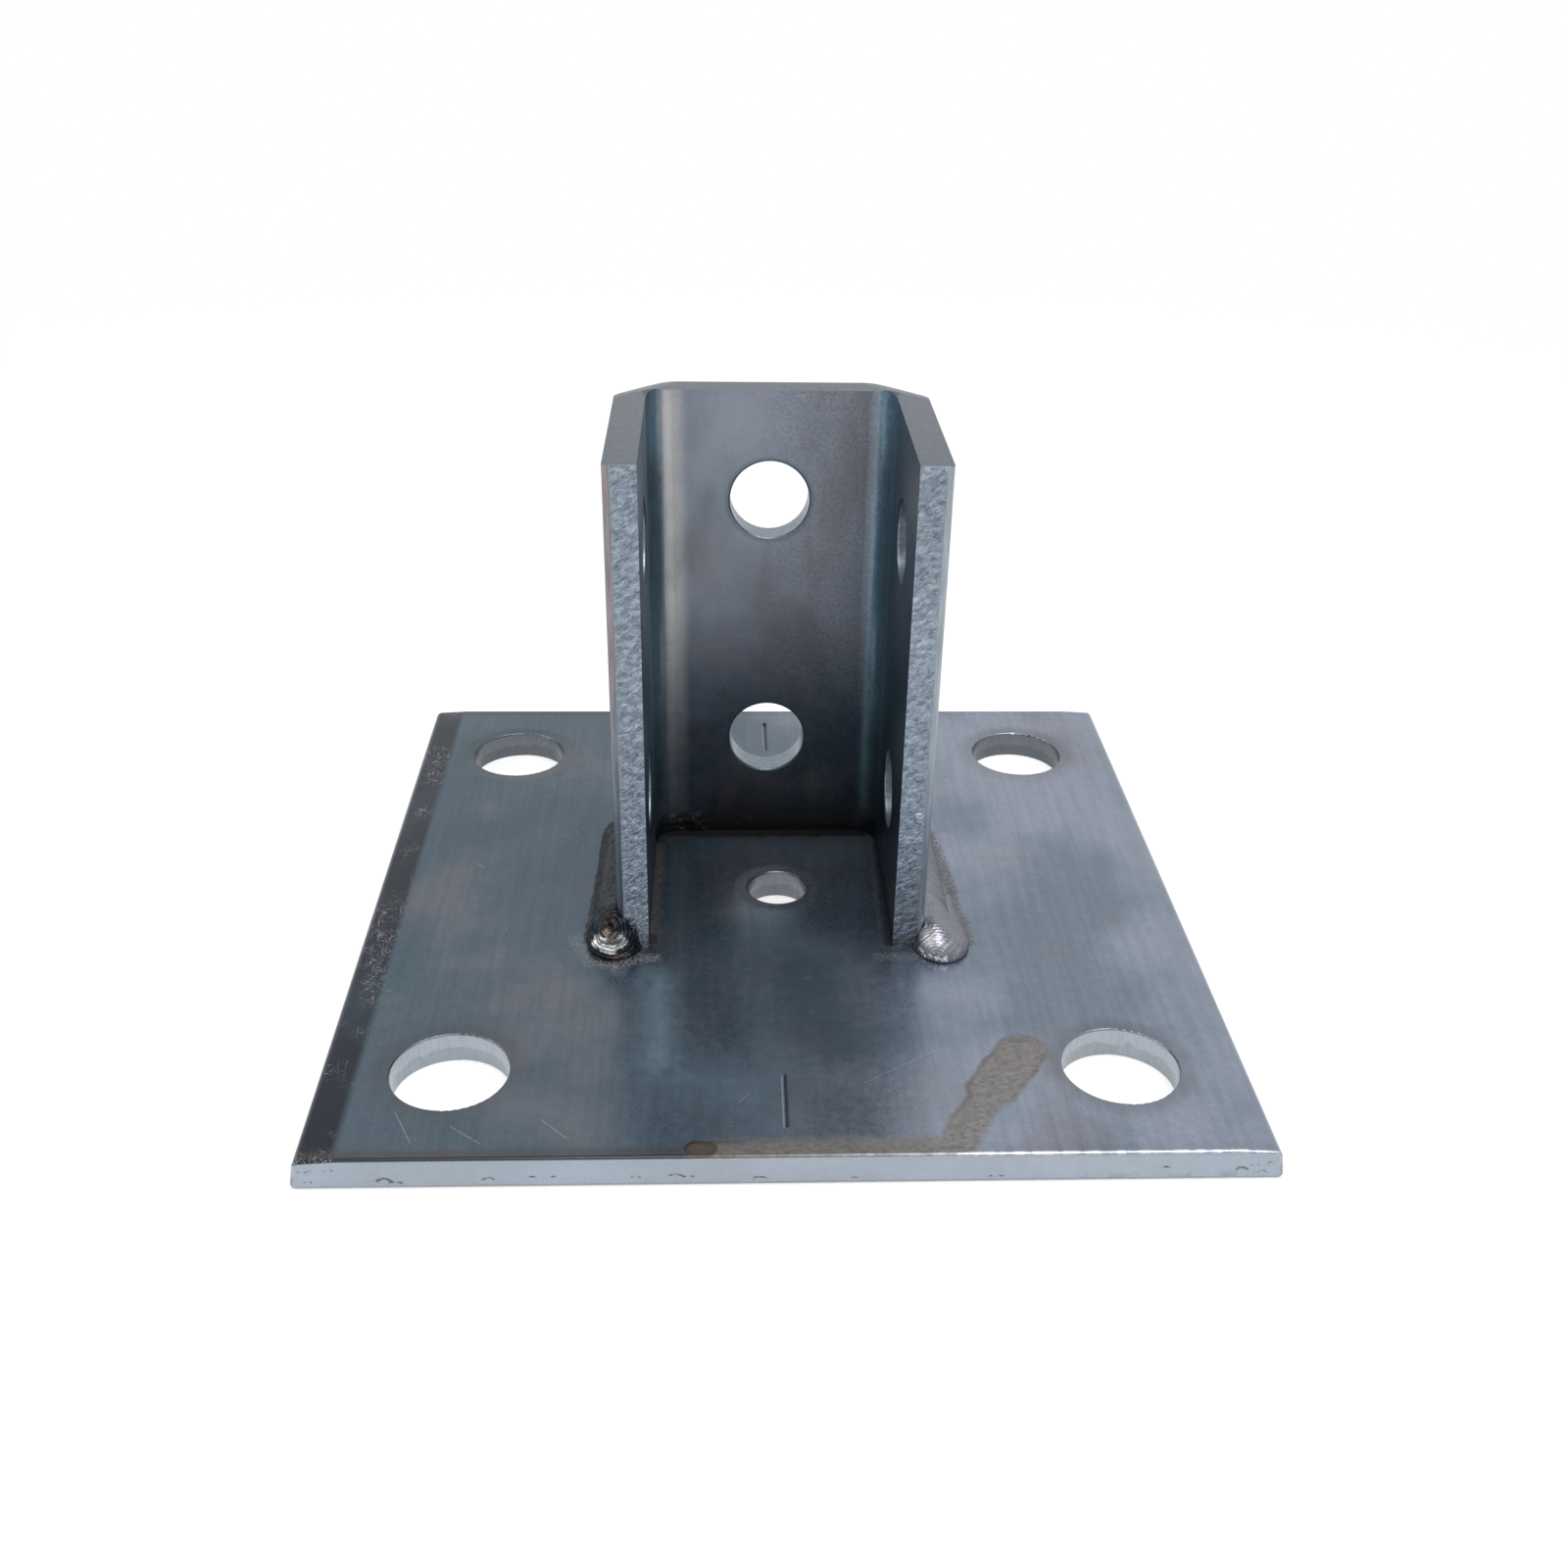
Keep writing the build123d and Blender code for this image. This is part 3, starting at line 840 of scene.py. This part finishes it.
class BuildPost(bpy.types.Operator):
    """Folded channel with torn leg fronts and wavy metal at its foot, in place of the plain channel"""
    bl_idname = "post_base.post"
    bl_label = "Post channel"

    def execute(self, context):
        tear = context.scene.post_base_tear
        bm = merged_copy("post_channel")
        faces = slice_evenly(bm, flat_end(bm, Y, post_low.y), Z, post_low.z, post_high.z, tear.pitch)
        faces = slice_evenly(bm, faces, X, post_low.x, leg_left, tear.pitch)
        faces = slice_evenly(bm, faces, X, leg_right, post_high.x, tear.pitch)
        for vert in verts_of(faces):
            outer = post_low.x if vert.co.x < post_middle else post_high.x
            vert.co.y += max(0, leg_tear(vert.co.copy(), outer, tear))
        self.root_ripples(bm, tear)
        steel = context.scene.post_base_steel
        fine = [face for face in faces if face.is_valid]
        piece = finish_mesh(bm, "post", fine, [post_material(steel), torn_material(steel)])
        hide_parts("post_channel")
        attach(piece, "root")
        return {"FINISHED"}

    def root_ripples(self, bm, tear):
        """Wavy metal that the weld's heat pushed through at the web's foot, in the left corner."""
        top = plate_top + tear.root_height * 1.5
        right = leg_left + inner_bend + 6.5 * MM
        corner = [face for face in bm.faces
                  if face.calc_center_median().x < post_middle and abs(face.normal.z) < 0.1
                  and leg_left - 0.1 * MM < min(v.co.x for v in face.verts)
                  and web_inner - inner_bend - 0.1 * MM < min(v.co.y for v in face.verts)
                  and max(v.co.y for v in face.verts) < web_inner + 0.1 * MM]
        for axis, place in ((Z, top), (X, right)):
            corner = slice_faces(bm, corner, axis, place)
            corner = [face for face in corner if face.calc_center_median()[axis] < place]
        corner = slice_evenly(bm, corner, Z, plate_top, top, tear.pitch)
        corner = slice_evenly(bm, corner, X, leg_left + inner_bend, right, tear.pitch)
        bmesh.ops.recalc_face_normals(bm, faces=bm.faces)
        bm.normal_update()
        moves = {}
        for vert in verts_of(corner):
            rise = vert.co.z - plate_top
            along = vert.co.x - leg_left
            bent = 2.2 * math.sin(rise / (1.3 * MM)) + 2 * rough(vert.co, 2.5 * MM)
            ripple = math.sin(along / (0.62 * MM) + bent)
            lump = rough(vert.co, 1.4 * MM) * 0.5
            high, wide = tear.root_height, right - leg_left
            fade = smooth_step(high, high * 0.35, rise) if rise < high else 0
            fade *= smooth_step(wide, wide * 0.72, along)
            moves[vert] = vert.normal * (tear.root_relief * fade * (0.45 + 0.35 * ripple + lump))
        for vert, move in moves.items():
            vert.co += Vector((move.x, move.y, 0))


def relax(bm, verts, rounds):
    """Draws vertices towards their neighbours, again and again."""
    for _ in range(rounds):
        bmesh.ops.smooth_vert(bm, verts=verts, factor=0.5, use_axis_x=True, use_axis_y=True, use_axis_z=True)
    bm.normal_update()


def bead_copy(node, voxel):
    """Even, fine mesh of a bead's solid."""
    holder = new_object("bead_holder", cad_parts[node].data.copy())
    remesh = holder.modifiers.new("even mesh", "REMESH")
    remesh.mode = "VOXEL"
    remesh.voxel_size = voxel
    bpy.context.view_layer.update()
    mesh = bpy.data.meshes.new_from_object(holder.evaluated_get(bpy.context.evaluated_depsgraph_get()))
    bpy.data.objects.remove(holder)
    bm = bmesh.new()
    bm.from_mesh(mesh)
    bpy.data.meshes.remove(mesh)
    relax(bm, bm.verts, 3)
    return bm


class BuildBeads(bpy.types.Operator):
    """Rippled weld beads along the feet of both legs"""
    bl_idname = "post_base.beads"
    bl_label = "Weld beads"

    def execute(self, context):
        weld, steel = context.scene.post_base_weld, context.scene.post_base_steel
        left_marks = (
            # Painted shade on the left flank and toe of the left bead
            ((-34, 20, 6.4), (-34.5, -16, 6.4), 1.6, 0.9, 2, 0.9, 0.3, steel.soot),
            ((-32.4, 14, 7.9), (-32, -10, 7.9), 0.8, 0.9, 2, 0.2, 1, steel.rust),
            # Painted highlight: a pale patch below the crater
            ((-32, -22.2, 8.8), (-28.6, -22.6, 9), 1.5, 1, 0.8, 0.6, 0.3, steel.scratch),
            ((-30.2, -22.3, 10.4), (-30.2, -20.8, 12), 1.75, 0.3, 0.3, 0.9, 0, steel.soot),
            ((-30.2, -22.6, 10.2), (-30.2, -21.6, 11.2), 1.25, 0.4, 0.8, 0.8, 1, weld.bronze),
            # Painted glints in the crater
            ((-30.7, -22.7, 10.1), (-30.3, -22.5, 10.3), 0.2, 0.2, 0.5, 0.9, 0.3, weld.bright),
            ((-29.3, -22.2, 10.8), (-29.2, -21.8, 11.2), 0.12, 0.15, 0.4, 0.8, 0.3, weld.bright),
            ((-29.8, -22.2, 10.6), (-30.1, -21.2, 11.6), 0.7, 0.3, 1, 0.95, 0, steel.soot),
            # Painted highlights: bright crescents below the crater
            ((-32.9, -21.9, 7.8), (-31.6, -23, 7.8), 0.8, 0.9, 0.5, 0.85, 0.2, weld.bright),
            ((-31.6, -23.3, 7.7), (-29.8, -23.5, 7.7), 1.1, 0.9, 0.6, 0.95, 0.2, weld.bright),
            ((-29.4, -23.5, 7.8), (-27.6, -22.8, 8.5), 0.7, 0.6, 0.6, 0.6, 0.2, weld.bright),
            ((-32.6, -21.8, 9.4), (-30.4, -23, 9.3), 0.2, 0.3, 0.3, 0.6, 0.2, weld.bright),
            # Painted shade: dark line under the bead's front foot
            ((-33.9, -22, 6.3), (-30.6, -24, 6.2), 0.35, 0.3, 0.8, 0.9, 0.2, steel.soot),
            ((-30.6, -24, 6.2), (-26.6, -23.2, 6.3), 0.45, 0.3, 0.8, 0.8, 0.4, weld.bronze),
            ((-27.9, -20.7, 11.2), (-26.2, -22, 8), 0.45, 0.25, 0.5, 0.9, 0, steel.soot),
            ((-25.4, -20.8, 9.6), (-24.6, -21.6, 6.4), 0.5, 0.4, 0.8, 0.8, 0.4, steel.brown))
        right_marks = (
            ((31.3, 18, 5.8), (32.2, -8, 5.8), 0.9, 0.8, 1, 0.7, 0.6, steel.brown),
            ((33.2, -10, 5.7), (34, -20, 5.7), 0.5, 0.5, 0.8, 0.7, 0.2, steel.brown),
            ((33.8, -20, 5.8), (29, -25.4, 5.8), 0.25, 0.25, 0.6, 0.8, 0.2, steel.brown),
            # Painted highlight and glints on the right bead's front
            ((25.6, -21.6, 9.4), (26.4, -22.8, 8.6), 1, 1.4, 0.8, 0.45, 0, weld.bright),
            ((24.7, -22.6, 6.9), (25.6, -24.2, 6), 0.3, 0.3, 0.8, 0.9, 1, weld.bright),
            ((26, -24.6, 6.6), (28.8, -25.3, 6.3), 0.4, 0.4, 0.8, 0.9, 1, weld.bright),
            ((24.2, -20.4, 5.8), (24.2, -20.6, 9.8), 0.35, 0.15, 0.3, 0.95, 0, steel.soot))
        materials = {
            "left": weld_material(
                "left_weld", steel, weld.left_colour, ((-30.2, -22, 11.2), 0.75, 0.05), left_marks),
            "right": weld_material(
                "right_weld", steel, weld.right_colour, ((27.2, -26.5, 6), 0.62, 0.014), right_marks)}
        for side, pitch, ripple, lumps, wall in (
                ("left", weld.left_pitch, weld.left_ripple, weld.left_lumps, post_low.x),
                ("right", weld.right_pitch, weld.right_ripple, weld.right_lumps, post_high.x)):
            node = side + "_weld_bead"
            bm = bead_copy(node, weld.voxel)
            if not bm.faces:
                raise RuntimeError(node + " came out empty")
            front = post_low.y
            self.settle(bm, wall, side == "right")
            moves = {}
            for vert in bm.verts:
                place = vert.co.copy()
                out = abs(place.x - wall)
                rise = place.z - plate_top
                lean = math.atan2(rise, max(out, 1e-6)) / (math.pi / 2)
                travel = place.y + 1.1 * MM * (2 * lean - 1) ** 2 + 0.4 * MM * rough(place, 3 * MM, 2)
                if place.y < front:
                    travel = front - 1.1 * (place.xy - Vector((wall, front))).length
                wave = math.sin(2 * math.pi * travel / pitch)
                clear = out + max(0, front - place.y)
                free = smooth_step(0.15 * MM, 0.9 * MM, rise) * smooth_step(0.1 * MM, 0.6 * MM, clear)
                moves[vert] = vert.normal * free * (ripple * wave + lumps * rough(place, 1.9 * MM, 3))
            for vert, move in moves.items():
                vert.co += move
                vert.co.z = max(vert.co.z, plate_top - 0.02 * MM)
            if side == "left":
                self.crater(bm, Vector((-30.2, -22, 11)) * MM)
            piece = finish_mesh(bm, side + "_bead", bm.faces, [materials[side]])
            for face in piece.data.polygons:
                face.material_index = 0
            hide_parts(node)
            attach(piece, "root")
        return {"FINISHED"}

    def settle(self, bm, wall, full):
        """Slopes the swell down outwards and fills the fillet behind it, more so for a full bead."""
        for vert in bm.verts:
            out = abs(vert.co.x - wall) / MM
            behind = vert.co.y - post_low.y
            rise = (vert.co.z - plate_top) / MM
            if out > 0.3 and rise > 0.3:
                lean = math.atan2(rise, out) * 2 / math.pi
                bow = (0.975 if full else 0.375) * 4 * lean * (1 - lean)
                fill = bow * math.exp(-((behind / MM - 8) / 3.4) ** 2) * MM
                vert.co.x += math.copysign(fill, vert.co.x - wall)
                vert.co.z += fill
            swell = smooth_step(9 * MM, 3 * MM, behind) if behind > 3 * MM else 1
            drop = 1 - 0.34 * swell * smooth_step(1, 6.5, out)
            vert.co.z = plate_top + (vert.co.z - plate_top) * drop
        moving = [vert for vert in bm.verts
                  if vert.co.z > plate_top + 0.3 * MM and post_low.y < vert.co.y < post_low.y + 14 * MM
                  and abs(vert.co.x - wall) > 0.4 * MM]
        relax(bm, moving, 40)

    def crater(self, bm, middle):
        """Egg-shaped hollow where the arc stopped, with a raised rim and rings below it."""
        outward = Vector((0, -0.62, 0.78))
        up = Vector((0, 0.78, 0.62))
        for vert in bm.verts:
            reach = vert.co - middle
            if reach.length > 4.5 * MM:
                continue
            rise = reach.dot(up) / MM
            wide = 1.35 - 0.3 * rise
            away = math.hypot(reach.x / MM / max(wide, 0.3), rise / 2)
            dip = -0.9 * smooth_step(0, 0.8, max(0, 0.95 - away))
            rim = 0.28 * math.exp(-((away - 1.15) / 0.22) ** 2)
            ring = 0.05 * math.sin(away * 9) * smooth_step(1.3, 1.6, away) * (1 - smooth_step(2.4, 3.2, away))
            vert.co += outward * (dip + rim + ring) * MM


class BuildStage(bpy.types.Operator):
    """Floor, soft lamps and camera"""
    bl_idname = "post_base.stage"
    bl_label = "Studio"

    def execute(self, context):
        scene, stage = context.scene, context.scene.post_base_stage
        scene.view_settings.view_transform = "Standard"
        self.camera(scene, stage)
        self.floor(stage)
        self.sky(scene, stage)
        middle = Vector((0, 0, 0.04))
        self.lamp("key", (0.2, -0.2, 1.05), middle, 0.8, stage.key_power)
        self.lamp("side", (-0.85, -0.1, 0.6), middle, 0.6, stage.side_power)
        return {"FINISHED"}

    def camera(self, scene, stage):
        data = bpy.data.cameras.new("camera")
        data.lens = stage.lens
        data.sensor_width = 36
        data.clip_start = 0.01
        data.dof.use_dof = False
        camera = new_object("camera", data)
        turn = (Matrix.Rotation(stage.camera_yaw, 4, "Z") @ Matrix.Rotation(-stage.camera_pitch, 4, "X")
                @ Matrix.Rotation(stage.camera_roll, 4, "Y") @ Matrix.Rotation(math.pi / 2, 4, "X"))
        camera.matrix_world = Matrix.Translation(Vector(stage.camera_place)) @ turn
        scene.camera = camera

    def floor(self, stage):
        half = stage.floor_width / 2
        mesh = bpy.data.meshes.new("floor")
        corners = [(-half, -half, 0), (half, -half, 0), (half, half, 0), (-half, half, 0)]
        mesh.from_pydata(corners, [], [(0, 1, 2, 3)])
        material = bpy.data.materials.new("floor")
        material.use_nodes = True
        g = Graph(material.node_tree)
        paper = g.add("BsdfDiffuse", {"Color": stage.floor_colour})
        white = g.add("Emission", {"Color": (1, 1, 1), "Strength": 1})
        away = g.vector("LENGTH", g.add("TexCoord").outputs["Object"])
        seen = g.times(self.seen(g), g.step(away, 0.12, 0.6, stage.floor_glow, 1))
        mixed = g.add("MixShader", {0: seen, 1: paper.outputs[0], 2: white.outputs[0]})
        g.add("OutputMaterial", {"Surface": mixed.outputs[0]})
        mesh.materials.append(material)
        floor = new_object("floor", mesh)

    def seen(self, g):
        """1 for what the camera sees directly, in a reflection or through glass."""
        path = g.add("LightPath").outputs
        return g.highest(path["Is Camera Ray"], g.highest(path["Is Glossy Ray"], path["Is Transmission Ray"]))

    def sky(self, scene, stage):
        world = bpy.data.worlds.new("sky")
        world.use_nodes = True
        scene.world = world
        g = Graph(world.node_tree)
        strength = g.add("MapRange", {0: self.seen(g), 3: stage.sky_strength, 4: 1}).outputs[0]
        light = g.add("Background", {"Color": (1, 1, 1), "Strength": strength})
        g.add("OutputWorld", {"Surface": light.outputs[0]})

    def lamp(self, name, place, target, size, power):
        data = bpy.data.lights.new(name, "AREA")
        data.shape = "SQUARE"
        data.size = size
        data.energy = power
        lamp = new_object(name, data)
        lamp.location = place
        lamp.rotation_mode = "QUATERNION"
        lamp.rotation_quaternion = (target - Vector(place)).to_track_quat("-Z", "Y")


class PostBasePanel(bpy.types.Panel):
    """Lists the steps that dress the strut post base"""
    bl_idname = "VIEW3D_PT_post_base"
    bl_label = "Strut post base"
    bl_space_type = "VIEW_3D"
    bl_region_type = "UI"
    bl_category = "Post base"

    def draw(self, context):
        for step in STEPS:
            self.layout.operator(step.bl_idname, text=step.bl_label)
        for holder in SETTINGS:
            settings = getattr(context.scene, holder)
            box = self.layout.box()
            for name in settings.bl_rna.properties.keys():
                if name not in ("rna_type", "name"):
                    box.prop(settings, name)


STEPS = (BuildStage, BuildPlate, BuildPost, BuildBeads)
SETTINGS = {
    "post_base_stage": StageSettings, "post_base_steel": SteelSettings,
    "post_base_tear": TearSettings, "post_base_weld": WeldSettings}


def register():
    for kind in (*SETTINGS.values(), *STEPS, PostBasePanel):
        bpy.utils.register_class(kind)
    for name, kind in SETTINGS.items():
        setattr(bpy.types.Scene, name, bpy.props.PointerProperty(type=kind))


def unregister():
    for name in SETTINGS:
        delattr(bpy.types.Scene, name)
    for kind in reversed((*SETTINGS.values(), *STEPS, PostBasePanel)):
        bpy.utils.unregister_class(kind)


def main():
    register()
    bpy.ops.post_base.stage()
    bpy.ops.post_base.plate()
    bpy.ops.post_base.post()
    bpy.ops.post_base.beads()


if __name__ == "__main__":
    main()
